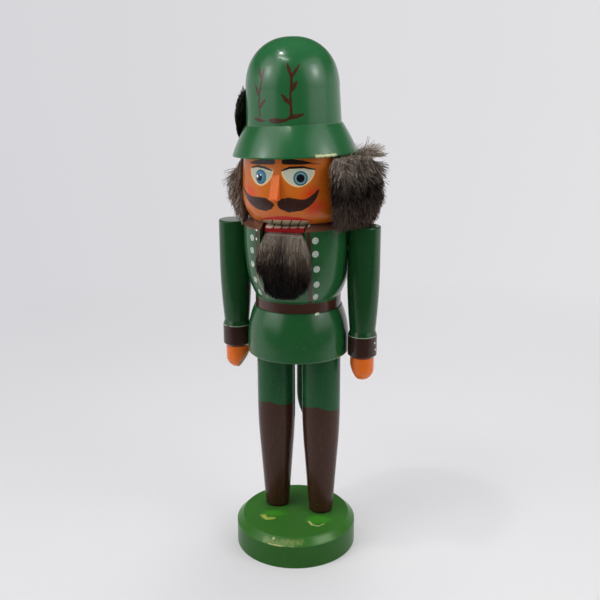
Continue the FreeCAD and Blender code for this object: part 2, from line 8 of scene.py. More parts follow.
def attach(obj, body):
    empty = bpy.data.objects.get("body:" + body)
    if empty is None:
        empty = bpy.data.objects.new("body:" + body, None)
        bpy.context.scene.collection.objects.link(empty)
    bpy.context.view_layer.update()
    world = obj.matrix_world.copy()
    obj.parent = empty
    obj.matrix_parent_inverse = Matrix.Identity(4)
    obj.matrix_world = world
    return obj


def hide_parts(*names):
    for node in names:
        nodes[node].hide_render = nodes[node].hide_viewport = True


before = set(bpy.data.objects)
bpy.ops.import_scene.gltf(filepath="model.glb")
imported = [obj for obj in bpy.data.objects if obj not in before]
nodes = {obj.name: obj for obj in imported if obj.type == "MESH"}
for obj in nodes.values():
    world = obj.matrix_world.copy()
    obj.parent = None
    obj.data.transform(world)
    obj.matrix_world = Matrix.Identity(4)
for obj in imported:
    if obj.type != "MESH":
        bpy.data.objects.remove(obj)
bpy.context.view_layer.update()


# The foot is a turned disc of wood with a chamfered top edge, painted grass green and lacquered.
# Glue scars of two lost toe caps show in front of the legs, and the chamfer is rubbed in front.
class Shade:
    """One socket of a material. Its operators add Math nodes, and node() adds any other node."""

    def __init__(self, socket):
        self.socket = socket

    def node(self, kind, settings, inputs, output=0):
        made = self.socket.id_data.nodes.new(kind)
        for name, value in settings.items():
            setattr(made, name, value)
        for name, value in inputs.items():
            if isinstance(value, Shade):
                made.id_data.links.new(value.socket, made.inputs[name])
            else:
                made.inputs[name].default_value = value
        return Shade(made.outputs[output]) if made.outputs else made

    def math(self, operation, *others, limit=False):
        settings = {"operation": operation, "use_clamp": limit}
        return self.node("ShaderNodeMath", settings, dict(enumerate((self, *others))))

    def __add__(self, other):
        return self.math("ADD", other)

    def __sub__(self, other):
        return self.math("SUBTRACT", other)

    def __rsub__(self, other):
        return self.node("ShaderNodeMath", {"operation": "SUBTRACT"}, {0: other, 1: self})

    def __mul__(self, other):
        return self.math("MULTIPLY", other)

    def __truediv__(self, other):
        return self.math("DIVIDE", other)

    def __pow__(self, other):
        return self.math("POWER", other)

    def __abs__(self):
        return self.math("ABSOLUTE")

    __radd__ = __add__
    __rmul__ = __mul__

    def low(self, other):
        return self.math("MINIMUM", other)

    def high(self, other):
        return self.math("MAXIMUM", other)

    def limited(self):
        """This value, held between 0 and 1."""
        return self.math("ADD", 0.0, limit=True)

    def part(self, axis):
        return self.node("ShaderNodeSeparateXYZ", {}, {0: self}, output="XYZ".index(axis))

    def cover(self, under, over):
        """The colour under, with the colour over laid on it where this mask is 1."""
        # The Mix node's colours go in at sockets 6 and 7, and come out at 2.
        return self.node("ShaderNodeMix", {"data_type": "RGBA"}, {0: self, 6: under, 7: over}, output=2)

    def cloud(self, stretch, detail=2.0, roughness=0.5):
        """Noise from 0 to 1 at this place, with so many features per millimetre along x, y and z."""
        place = self.node("ShaderNodeVectorMath", {"operation": "MULTIPLY"}, {0: self, 1: stretch})
        return place.node("ShaderNodeTexNoise", {}, {"Vector": place, "Scale": 1.0, "Detail": detail,
                                                     "Roughness": roughness})

    def bump(self):
        """The normals of a surface with this height in millimetres."""
        return self.node("ShaderNodeBump", {}, {"Strength": 1.0, "Distance": 0.001, "Height": self})

    def shader(self, inputs):
        """The end of a material: its shader with these inputs, joined to the output."""
        made = self.node("ShaderNodeBsdfPrincipled", {}, inputs)
        made.node("ShaderNodeOutputMaterial", {}, {"Surface": made})


def surface(name):
    """A new material, and the place on the surface in millimetres."""
    material = bpy.data.materials.new(name)
    material.use_nodes = True
    material.node_tree.nodes.clear()
    metres = Shade(material.node_tree.nodes.new("ShaderNodeTexCoord").outputs["Object"])
    return material, metres.node("ShaderNodeVectorMath", {"operation": "SCALE"}, {0: metres, 3: 1000.0})


def tint(red, green, blue):
    """A paint colour, given on the usual scale to 255."""
    steps = [value / 255 for value in (red, green, blue)]
    return tuple(s / 12.92 if s < 0.04 else ((s + 0.055) / 1.055) ** 2.4 for s in steps) + (1.0,)


def filled(distance, edge=0.2):
    """Paint where the distance is below nought, with an edge so many millimetres soft."""
    return (0.5 - distance / edge).limited()


def oval(u, v, middle, half, turn=0.0, power=2.0):
    """How far a point lies outside a dab of paint, roughly, in millimetres."""
    along, across = math.cos(math.radians(turn)), math.sin(math.radians(turn))
    p = abs((u - middle[0]) * along + (v - middle[1]) * across) / half[0]
    q = abs((v - middle[1]) * along - (u - middle[0]) * across) / half[1]
    return ((p ** power + q ** power) ** (1 / power) - 1.0) * min(half)


def stroke(u, v, *points):
    """How far a point lies outside a brush stroke that runs through points (u, v, half width)."""
    nearest = None
    for (u0, v0, r0), (u1, v1, r1) in zip(points, points[1:]):
        du, dv = u1 - u0, v1 - v0
        square = du * du + dv * dv
        along = (u * (du / square) + v * (dv / square)).math(
            "SUBTRACT", (u0 * du + v0 * dv) / square, limit=True)
        p = u - u0 - along * du
        q = v - v0 - along * dv
        away = (p * p + q * q) ** 0.5 - r0 - along * (r1 - r0)
        nearest = away if nearest is None else nearest.low(away)
    return nearest


def lacquer(place, colour, relief, rough=0.25, coat=0.2, level=0.45, bare=None, brush=0.06):
    """Lacquer, a little uneven from the brush, with faint turning marks under it, and none where bare."""
    rings = place.cloud((0.05, 0.05, 1.3), 3.0)
    brushed = place.cloud((0.09, 0.09, 0.03), 2.0)
    dust = filled(0.735 - place.cloud((1.1, 1.1, 1.1), 2.0), 0.04)
    colour = (dust * 0.25).cover(colour, tint(170, 175, 160))
    height = relief + rings * 0.008 + brushed * brush + dust * 0.02
    gloss = brushed * 0.10 + (rough - 0.05) + dust * 0.2
    if bare is not None:
        gloss = gloss.high(bare * 0.75)
        coat = (1.0 - bare) * coat
    place.shader({"Base Color": colour, "Roughness": gloss, "Normal": height.bump(),
                  "Specular IOR Level": level, "Coat Weight": coat, "Coat Roughness": 0.05})


def worn_colour(place, colour, strength=0.16):
    """A coat of paint that is thicker in some places than in others."""
    patches = place.cloud((0.035, 0.035, 0.02), 3.0, 0.6)
    darker = tuple(part * 0.45 for part in colour[:3]) + (1,)
    return (patches * strength * 2 - strength * 0.5).cover(colour, darker)


material, place = surface("grass_green_lacquer")
x, y, z = (place.part(axis) for axis in "XYZ")
wobble = place.cloud((0.35, 0.35, 0.35), 3.0) * 2.4 - 1.2
grit = place.cloud((1.4, 1.4, 1.4), 3.0, 0.7)
foot_radius, side_top, chamfer_top = 42.0, 16.3, 20.6
on_top = filled(chamfer_top + 0.3 - z, 0.1)
flaked = (grit * 3.2 - 0.95).limited()
# Painted light: one green paint, given darker on the side and lighter on the top and chamfer, for light
# falling from above.
shaded_side_green = worn_colour(place, tint(39, 92, 26))
lit_top_green = worn_colour(place, tint(53, 106, 38))
colour = filled(side_top - 0.1 - z, 0.2).cover(shaded_side_green, lit_top_green)
fresh = oval(x, y, (-13.4, -9.4), (8.5, 4.0), 12).low(oval(x, y, (19.4, -8.8), (8.6, 5.2), 20))
colour = (filled(fresh + wobble, 3.0) * on_top * 0.5).cover(colour, tint(64, 150, 32))
yellow = stroke(x, y, (-20.0, -14.9, 1.9), (-16.2, -17.8, 1.9), (-11.0, -15.6, 1.1))
pale = stroke(x, y, (14.0, -12.8, 0.8), (17.0, -16.4, 0.8), (22.0, -17.2, 0.55), (25.2, -12.8, 0.45))
scar = filled(yellow + wobble * 1.2, 1.1) * on_top
ridge = filled(pale + wobble * 0.4, 0.5) * on_top
colour = (scar * flaked).cover(colour, tint(170, 186, 84))
colour = (ridge * (flaked * 0.5 + 0.35)).cover(colour, tint(190, 200, 126))
# The rubbed places on the chamfer, worn through to the yellowish ground coat.
round_foot = x.math("ARCTAN2", 0.0 - y) * foot_radius
rubbed = stroke(round_foot, z, (-11.5, 18.0, 1.6), (-2.0, 17.6, 2.1), (6.0, 18.2, 2.4), (17.5, 18.3, 1.9))
ragged = place.cloud((0.24, 0.24, 0.24), 3.0, 0.6) * 6.5 - 2.7
rubbed = filled(rubbed + ragged, 1.5) * filled(side_top - z, 0.3) * filled(z - chamfer_top, 0.3)
colour = (rubbed * (flaked * 0.45 + 0.10)).cover(colour, tint(146, 158, 96))
# A pale line on the lip between side and chamfer, and nicks along it.
lip = filled(abs(z - (side_top + 0.3)) - 0.35 + wobble * 0.25, 0.3)
lip = lip * filled(abs(round_foot + 1.7) - 5.0 + wobble, 2.0)
lip = lip.high(filled(oval(round_foot, z, (-3.6, 19.6), (1.0, 0.6)) + wobble * 0.3, 0.3))
colour = (lip * 0.75).cover(colour, tint(182, 186, 118))
nicks = filled(0.52 - place.cloud((0.22, 0.22, 0.22), 3.0, 0.6), 0.05)
nicks = nicks * filled(abs(z - (side_top + 0.2)) - 0.45, 0.5)
colour = (nicks * filled(63.0 - abs(round_foot), 4.0) * 0.7).cover(colour, tint(160, 168, 112))
# A pale patch painted on the chamfer on the figure's left: a painted reflection.
reflection_patch = filled(abs(round_foot - 34.1) - 7.0, 6.0) * filled(abs(z - 18.6) - 1.6, 1.0)
colour = (reflection_patch * 0.24).cover(colour, tint(150, 186, 130))
lacquer(place, colour, ridge * 0.3 + scar * 0.15 - rubbed * 0.08, 0.30, 0.0, 0.22)
nodes["base_disc"].data.materials[0] = material


# The legs are turned and tapered, with a tenon at each end, and dipped in two colours: green
# trousers above and dark brown boots below, with an uneven line between them.
boot_top, sole, leg_middle = 105.2, 22.6, 17.0
for side in ("left", "right"):
    material, place = surface("trousers_and_boots_" + side)
    x, z = place.part("X"), place.part("Z")
    line = boot_top + (place.cloud((0.05, 0.05, 0.01), 1.0) - 0.5) * 5.0 - abs(abs(x) - leg_middle) * 0.22
    wobble = place.cloud((0.5, 0.5, 0.5), 2.0) - 0.5
    boot = filled(z - line + wobble * 0.7, 0.3)
    colour = boot.cover(worn_colour(place, tint(24, 78, 42)), worn_colour(place, tint(60, 34, 22)))
    foot_line = filled(z - sole + wobble * 1.2, 0.6)
    colour = (foot_line * 0.6).cover(colour, tint(30, 18, 12))
    lacquer(place, colour, boot * 0.06, 0.27, 0.05, 0.25, brush=0.0)
    nodes["leg_" + side].data.materials[0] = material


# The body is one turned blank from the skirt hem to the head, with a slot sawn through it for the
# lever. Coat, collar, belt, front edges and buttons are painted on, and so is the face.
material, place = surface("painted_soldier")
x, y, z = (place.part(axis) for axis in "XYZ")
wobble = place.cloud((0.45, 0.45, 0.45), 2.0) - 0.5
body_middle, head_radius, coat_radius = 7.6, 36.3, 35.0
belt_middle, belt_top, chest_top, neck = 179.4, 183.0, 232.0, 235.9
# How far in front of the body's middle a place lies, and how far round the head from the front.
front = body_middle - y
turn = x.math("ARCTAN2", front)
arc = turn * head_radius
colour = worn_colour(place, tint(28, 84, 42))
in_front = filled(0.0 - front, 2.0)
chest = in_front * filled(z - chest_top, 0.3) * filled(belt_top - z, 0.4)

# Brown edging beside the slot. On the figure's right it follows the slot's round bottom.
across = x + (z - 213.0) ** 2.0 * 0.0022 - 17.9
right_edge = filled(abs(across) - 1.1 + wobble * 0.3, 0.3) * chest
left_edge = stroke(x, z, (-17.6, 232.0, 1.2), (-18.0, 216.0, 1.1), (-19.2, 204.0, 1.1),
                   (-18.0, 197.0, 1.0), (-15.6, 191.2, 0.9), (-12.2, 186.0, 0.7))
left_edge = filled(left_edge + wobble * 0.4, 0.3) * chest
edging = right_edge.high(left_edge)
colour = edging.cover(colour, tint(66, 39, 31))
colour = (left_edge * filled(z - 203.0, 4.0) * 0.75).cover(colour, tint(128, 122, 98))

# Belt and collar, with the pale nicks where the paint has come off.
belt = filled(abs(z - belt_middle) - 3.35 + wobble * 0.5, 0.3)
colour = belt.cover(colour, tint(62, 32, 24))
collar_foot, collar_top = 231.4, 236.2
collar = filled(collar_foot + arc * 0.012 - z + wobble * 0.4, 0.3) * filled(z - collar_top, 0.4)
# The collar is painted a lighter brown than the belt, partly its own brown and partly a painted highlight
# from the left.
colour = collar.cover(colour, tint(98, 66, 52))
nick = oval(x, z, (20.1, 175.6), (1.1, 0.8)).low(oval(x, z, (15.9, 234.9), (0.6, 0.6)))
nick = nick.low(oval(x, z, (-17.8, 231.2), (0.8, 0.7))).low(oval(x, z, (-18.0, 225.4), (0.6, 0.9)))
nick = filled(nick + wobble * 0.3, 0.3) * in_front
colour = nick.cover(colour, tint(205, 208, 186))

# Buttons, a drop of silver paint each, with a dimple in the middle.
coat_arc = turn * coat_radius
button = None
for at in ((21.6, 226.0), (21.7, 217.2), (22.8, 207.2), (23.4, 196.6), (24.0, 187.6),
           (-22.7, 225.5), (-23.4, 216.9), (-24.1, 207.6), (-23.4, 196.9), (-22.8, 188.0)):
    p, q = coat_arc - at[0], z - at[1]
    away = (p * p + q * q) ** 0.5
    button = away if button is None else button.low(away)
drop = filled(button - 2.15 + wobble * 0.4, 0.25)
ring = filled(abs(button - 1.1) - 0.25, 0.3)
colour = drop.cover(colour, tint(186, 196, 186))
colour = (ring * 0.5).cover(colour, tint(96, 122, 102))

# The skin of the face reaches from the turned-in neck to the hat.
head = filled(neck - z, 0.3)
glow = place.cloud((0.05, 0.05, 0.08), 2.0)
skin = glow.cover(tint(204, 109, 27), tint(182, 87, 13))
colour = head.cover(colour, skin)
blush = None
for at, half in (((-25.0, 255.4), (5.5, 3.4)), ((19.5, 256.2), (5.4, 3.0)), ((22.8, 247.0), (6.4, 4.8))):
    dab = filled(oval(arc, z, at, half, 20 if at[0] > 0 else -20), 4.5)
    blush = dab if blush is None else blush.high(dab)
colour = (blush * head * 0.8).cover(colour, tint(204, 48, 8))

# Eyes: a cream almond with a grey white in it, iris, ring, pupil and a touch of white.
for at, half, iris_at, lid, bow, iris in (
        (-14.5, (9.9, 9.8), (-14.2, 265.7), (-14.6, 271.9), 0.012, tint(70, 142, 184)),
        (11.5, (10.6, 9.7), (13.0, 265.6), (11.7, 272.5), 0.014, tint(66, 118, 128))):
    lid_line = lid[1] - (arc - lid[0]) ** 2.0 * bow
    almond = oval(arc, z, (at, 269.8), half, 0, 1.75).high(z - lid_line)
    colour = (filled(almond) * in_front).cover(colour, tint(222, 196, 146))
    colour = (filled(almond + 0.9) * in_front).cover(colour, tint(186, 188, 170))
    p, q = arc - iris_at[0], z - iris_at[1]
    away = (p * p + q * q) ** 0.5
    shown = filled((away - 4.5).high(z - lid_line)) * in_front
    colour = shown.cover(colour, iris)
    colour = (shown * filled(abs(away - 4.2) - 0.4, 0.4) * 0.85).cover(colour, tint(34, 66, 74))
    if at > 0:
        colour = (shown * filled(abs(away - 3.1) - 0.3, 0.4) * 0.8).cover(colour, tint(128, 158, 164))
        pupil = away - 2.5
    else:
        shadow = filled(2.6 - away - p * 0.35, 1.4)
        colour = (shown * shadow * 0.45).cover(colour, tint(20, 62, 66))
        pupil = oval(arc, z, (-15.3, 265.2), (2.3, 2.4))
    colour = (filled(pupil) * shown).cover(colour, tint(14, 16, 26))
glint = oval(arc, z, (-17.2, 265.9), (0.95, 1.0)).low(oval(arc, z, (-14.3, 266.9), (0.6, 0.5)))
colour = filled(glint, 0.3).cover(colour, tint(232, 238, 240))

# Lids, brows and moustache, each laid on with a loaded brush.
lids = stroke(arc, z, (-23.4, 270.8, 0.45), (-17.0, 272.1, 0.75), (-11.2, 271.6, 0.75),
              (-5.4, 270.1, 0.45))
lids = lids.low(stroke(arc, z, (0.9, 270.2, 0.45), (6.0, 272.1, 0.75), (14.6, 272.4, 0.75),
                       (22.3, 270.9, 0.45)))
brows = stroke(arc, z, (-25.4, 273.5, 0.3), (-18.2, 274.4, 1.3), (-12.7, 275.0, 1.6), (-4.9, 275.4, 1.6))
brows = brows.low(stroke(arc, z, (2.6, 275.6, 1.6), (8.0, 275.6, 1.7), (14.0, 275.3, 1.3),
                         (20.6, 274.7, 0.4)))
ink = filled(lids.low(brows) + wobble * 0.3) * in_front
colour = ink.cover(colour, tint(30, 24, 20))
tail = stroke(arc, z, (20.0, 274.5, 0.7), (26.0, 274.2, 0.4))
colour = (filled(tail + wobble * 0.4, 0.5) * in_front * 0.7).cover(colour, tint(110, 48, 26))
moustache = stroke(arc, z, (-5.8, 248.6, 1.7), (-8.0, 248.3, 3.1), (-11.5, 248.5, 4.4),
                   (-17.5, 248.7, 4.1), (-23.6, 249.7, 2.9), (-29.2, 252.0, 1.9),
                   (-32.9, 254.3, 1.1), (-37.4, 257.2, 0.4))
moustache = moustache.low(stroke(arc, z, (0.2, 249.3, 2.2), (1.8, 249.3, 3.7), (5.6, 248.9, 4.75),
                                 (12.8, 248.9, 3.7), (16.4, 249.9, 2.8), (19.3, 251.7, 2.3),
                                 (21.9, 254.2, 1.7), (24.3, 258.0, 0.6)))
moustache = filled(moustache + wobble * 0.5, 0.25) * in_front
colour = moustache.cover(colour, worn_colour(place, tint(57, 33, 26), 0.3))

# Upper lip and upper teeth, painted on the curve under the cheeks.
in_mouth = in_front * filled(235.2 - z, 0.2)
gum = 238.8 + x * 0.03 - x ** 2.0 * 0.0036
lip_top = 241.6 - (x - 2.0) ** 2.0 * 0.0118
lip = filled((z - lip_top).high(gum - z) + wobble * 0.3, 0.3) * in_mouth
colour = lip.cover(colour, tint(186, 30, 24))
row = (turn * 57.3 + 29.7) / 59.8
row = row - row * (1.0 - row) * (0.42 - row * 0.31)
tooth = abs((row * 5.0 - (z - 237.0) * 0.10).math("FRACT") - 0.5)
teeth = filled((z - gum).high(abs(row - 0.5) * 30.0 - 15.2), 0.25) * in_mouth
# Painted shade: the upper teeth are darker and greener towards the bottom, where the curve turns under the
# cheeks.
teeth_shading = ((z - 235.2) / 4.0).limited()
colour = teeth.cover(colour, teeth_shading.cover(tint(104, 104, 76), tint(196, 170, 140)))
colour = (teeth * filled(0.44 - tooth, 0.05)).cover(colour, tint(48, 26, 16))

# Bare wood in dark browns inside the slot, with a little green from the brush at its edges.
slot_bottom_middle, slot_top, slot_half = 201.5, 235.25, 15.06
below = (z - slot_bottom_middle).low(0.0)
slot_wall = filled((x * x + below * below) ** 0.5 - slot_half, 0.04) * filled(z - slot_top, 0.04)
grain = place.cloud((0.5, 0.06, 1.6), 4.0, 0.6)
bare = grain.cover(tint(92, 74, 50), tint(58, 42, 28))
edge_paint = filled(30.0 - front + wobble * 6.0, 2.0)
bare = (edge_paint * 0.7).cover(bare, tint(18, 48, 26))
colour = slot_wall.cover(colour, bare)
relief = (drop - ring * 0.5) * 0.35 + moustache * 0.07 + belt * 0.05 + edging * 0.05 + ink * 0.05
lacquer(place, colour, relief + collar * 0.05, coat=0.2 - head * 0.2, bare=slot_wall)
nodes["body"].data.materials[0] = material


# The nose is a small wedge of wood, let into the face and glued. It is painted with the face, in a
# skin colour that is a shade lighter, and lacquered.
material, place = surface("nose_skin")
z = place.part("Z")
tip = filled(256.0 - z, 9.0)
colour = tip.cover(tint(226, 100, 34), tint(220, 106, 30))
colour = (place.cloud((0.3, 0.3, 0.3)) * 0.5).cover(colour, tint(196, 82, 22))
lacquer(place, colour, place.cloud((0.5, 0.5, 0.5)) * 0.1, 0.28, 0.1, 0.35)
nodes["nose_peg"].data.materials[0] = material


# The arms are turned with sleeve, cuff and hand in one piece, sawn off on the slant at the
# hand. The cuff is brown with a thin pale line painted along its lip.
cuff_top, wrist = 157.0, 141.8
cut_at, cut_slant = (37.55, 137.4), (0.871, 0.493)
for side, sign in (("left", 1), ("right", -1)):
    material, place = surface("sleeve_and_hand_" + side)
    x, y, z = (place.part(axis) for axis in "XYZ")
    wobble = place.cloud((0.45, 0.45, 0.45), 2.0) - 0.5
    colour = worn_colour(place, tint(22, 67, 32))
    cuff = filled(z - cuff_top + wobble * 0.5, 0.3)
    colour = cuff.cover(colour, worn_colour(place, tint(52, 32, 26)))
    lip_line = filled(0.42 - place.cloud((0.2, 0.2, 0.1), 2.0), 0.1)
    lip_line = lip_line * filled(abs(z - (cuff_top + 0.35)) - 0.22, 0.25)
    colour = (lip_line * 0.75).cover(colour, tint(172, 190, 164))
    hand = filled(z - wrist + wobble * 0.5, 0.3)
    colour = hand.cover(colour, worn_colour(place, tint(222, 106, 22), 0.1))
    # The saw cut runs from the inside of the wrist down to the finger tips.
    cut = (x * sign - cut_at[0]) * cut_slant[0] + (z - cut_at[1]) * cut_slant[1]
    sawn = filled(abs(cut) - 0.12, 0.1) * filled(z - (wrist - 0.8), 0.2)
    grain = place.cloud((1.4, 0.25, 0.25), 4.0, 0.6)
    colour = sawn.cover(colour, grain.cover(tint(206, 178, 130), tint(164, 122, 76)))
    if sign > 0:
        nick = oval(y, z, (4.6, 152.9), (0.7, 0.9)).low(oval(y, z, (5.4, 148.0), (0.6, 0.8)))
        nick = filled(nick + wobble * 0.3, 0.3) * filled(50.0 - x, 0.5)
        colour = nick.cover(colour, tint(214, 214, 204))
    lacquer(place, colour, cuff * 0.05 - hand * 0.05 - sawn * 0.1, 0.17, level=0.35, bare=sawn)
    nodes["arm_" + side].data.materials[0] = material


# Dowels of birch, glued into bores, hold the arms and the hat. The jaw's pin is a plain length of
# drawn steel rod, pressed through the body from side to side.
material, place = surface("birch_dowel")
grain = place.cloud((2.0, 2.0, 0.12), 4.0, 0.6)
colour = grain.cover(tint(222, 190, 142), tint(184, 142, 92))
place.shader({"Base Color": colour, "Roughness": grain * 0.2 + 0.5, "Normal": (grain * 0.06).bump()})
for name in ("shoulder_dowel_left", "shoulder_dowel_right", "hat_dowel"):
    nodes[name].data.materials[0] = material

material, place = surface("drawn_steel")
drawn = place.cloud((0.1, 3.0, 3.0), 3.0)
colour = drawn.cover(tint(190, 188, 184), tint(150, 148, 144))
place.shader({"Base Color": colour, "Metallic": 1.0, "Roughness": drawn * 0.2 + 0.25,
              "Normal": (drawn * 0.02).bump()})
nodes["pivot_pin"].data.materials[0] = material


# The hat is turned from one block, crown and sloping brim, and glued on a little askew. It is
# painted coat green, with a sprig of leaves in brown in front. The brim's edge is chipped.
material, place = surface("hat_lacquer")
hat_shift, hat_seat, hat_tilt, crown_radius, crown_foot = -1.8, 277.5, -1.9, 30.0, 19.4
on_hat = place.node("ShaderNodeMapping", {"vector_type": "TEXTURE"}, {
    "Vector": place, "Location": (hat_shift, body_middle, hat_seat),
    "Rotation": (0.0, math.radians(hat_tilt), 0.0)})
across, ahead, up = on_hat.part("X"), 0.0 - on_hat.part("Y"), on_hat.part("Z")
arc = across.math("ARCTAN2", ahead) * crown_radius
wobble = place.cloud((0.5, 0.5, 0.5), 2.0) - 0.5
colour = worn_colour(place, tint(33, 97, 53))
# The sprig's stems and leaves, one brush stroke each.
sprig = stroke(arc, up, (-10.8, 47.7, 0.55), (-12.9, 39.7, 0.5), (-13.6, 34.4, 0.6), (-13.3, 25.5, 0.5))
for run in (
        ((-13.9, 54.4, 0.4), (-12.4, 51.0, 1.0), (-10.9, 47.7, 0.6)),
        ((-9.4, 53.6, 0.3), (-10.8, 48.3, 0.5)),
        ((-16.7, 44.8, 0.3), (-14.9, 41.0, 1.0), (-13.2, 37.2, 0.5)),
        ((-8.4, 35.8, 0.3), (-10.8, 33.4, 0.9), (-13.2, 30.6, 0.5)),
        ((-17.8, 24.0, 0.5), (-14.6, 23.4, 1.1), (-11.6, 23.2, 0.7), (-9.2, 22.9, 0.3)),
        ((-5.3, 22.9, 0.9), (-1.9, 22.8, 1.8), (1.2, 22.4, 1.1), (4.7, 22.8, 0.6), (7.4, 24.4, 0.8)),
        ((7.0, 24.2, 0.8), (10.4, 24.8, 1.3), (13.0, 25.4, 0.9), (15.8, 26.2, 0.2)),
        ((8.2, 25.4, 0.8), (7.9, 33.5, 0.6), (7.9, 38.8, 0.5)),
        ((8.3, 39.9, 0.6), (8.8, 44.0, 0.6), (8.8, 49.3, 0.8)),
        ((6.1, 56.9, 0.3), (7.3, 53.2, 1.0), (8.8, 49.3, 0.7)),
        ((14.4, 55.5, 0.2), (11.8, 52.2, 0.8), (9.2, 49.0, 0.8)),
        ((12.3, 46.0, 0.2), (10.6, 43.2, 1.2), (8.4, 39.8, 0.6)),
        ((2.5, 38.2, 0.4), (4.8, 35.4, 1.2), (7.4, 32.4, 0.6))):
    sprig = sprig.low(stroke(arc, up, *run))
sprig = filled(sprig - 0.2 + wobble * 0.6, 0.35) * filled(0.0 - ahead, 1.0)
thin = place.cloud((0.6, 0.6, 0.6), 2.0)
colour = (sprig * (0.7 + thin * 0.5)).cover(colour, tint(66, 30, 21))
# A pale line painted along the ledge between crown and brim: a painted highlight where the ledge faces up.
ledge_highlight = filled(abs(up - crown_foot) - 0.15, 0.3) * (thin * 1.6 - 0.3)
colour = (ledge_highlight * 0.6).cover(colour, tint(128, 172, 132))
# The chips on the brim's edge, in an irregular band.
worn = place.cloud((0.42, 0.42, 0.42), 3.0, 0.6)
chip = filled(abs(arc - 24.4) - 5.4 + wobble * 3.0, 1.2) * filled(abs(up - 1.1) - 2.5 + worn * 3.4, 0.5)
colour = (chip * (worn * 0.8 + 0.35)).cover(colour, tint(214, 222, 160))
lacquer(place, colour, sprig * 0.05 - chip * 0.15, brush=0.03)
nodes["hat"].data.materials[0] = material


# The lever is sawn from one board: lower jaw in front, long handle behind. It is coat green,
# with the lower teeth and the lip painted on the jaw's front edge.
material, place = surface("lever_lacquer")
x, y, z = (place.part(axis) for axis in "XYZ")
front = body_middle - y
wobble = place.cloud((0.45, 0.45, 0.45), 2.0) - 0.5
rubbed = place.cloud((0.1, 0.05, 0.05), 3.0)
colour = worn_colour(place, tint(20, 62, 34))
at_lip = filled(24.0 - front, 0.4)
lip = filled(230.0 + x * 0.03 - z + wobble * 0.3, 0.3) * at_lip
colour = lip.cover(colour, tint(166, 26, 34))
jaw_half, tooth_width = 12.9, 5.42
row = (x + jaw_half) / tooth_width
tooth = abs(row.math("FRACT") - 0.5)
edge = 232.75 + x * 0.05 + tooth ** 4.0 * 14.0
teeth = filled((edge - z).high(abs(x - 0.65) - 13.6), 0.25) * at_lip
# Painted shade: the lower teeth are lighter at the bottom and darker towards the top, close under the upper
# jaw.
teeth_shading = ((z - 232.4) / 2.4).limited()
colour = teeth.cover(colour, teeth_shading.cover(tint(226, 196, 180), tint(150, 140, 108)))
colour = (teeth * filled(0.43 - tooth, 0.05)).cover(colour, tint(64, 20, 16))
colour = (filled(0.66 - rubbed, 0.05) * filled(front + 30.0, 2.0) * 0.5).cover(colour, tint(96, 112, 70))
lacquer(place, colour, teeth * 0.15 + rubbed * 0.05)
nodes["jaw_lever"].data.materials[0] = material


# The hair is a strip of fur glued round the sides and the back of the head, under the brim:
# taupe underfur above, near-black guard hair below, combed back and down, with loose ends.
def pelt(node, shaped, keep):
    """The fur's skin: the CAD solid reshaped a little, and the part of it where hairs grow."""
    skin = bmesh.new()
    skin.from_mesh(nodes[node].data)
    bmesh.ops.remove_doubles(skin, verts=skin.verts, dist=1e-5)
    skin.normal_update()
    moved = [(vert, shaped(vert.co, vert.normal)) for vert in skin.verts]
    for vert, new_place in moved:
        vert.co = new_place
    leather = bpy.data.meshes.new(node + "_skin")
    skin.to_mesh(leather)
    bare = [face for face in skin.faces if not keep(face.calc_center_median(), face.normal)]
    bmesh.ops.delete(skin, geom=bare, context="FACES")
    ground = bpy.data.meshes.new(node + "_ground")
    skin.to_mesh(ground)
    skin.free()
    return leather, ground


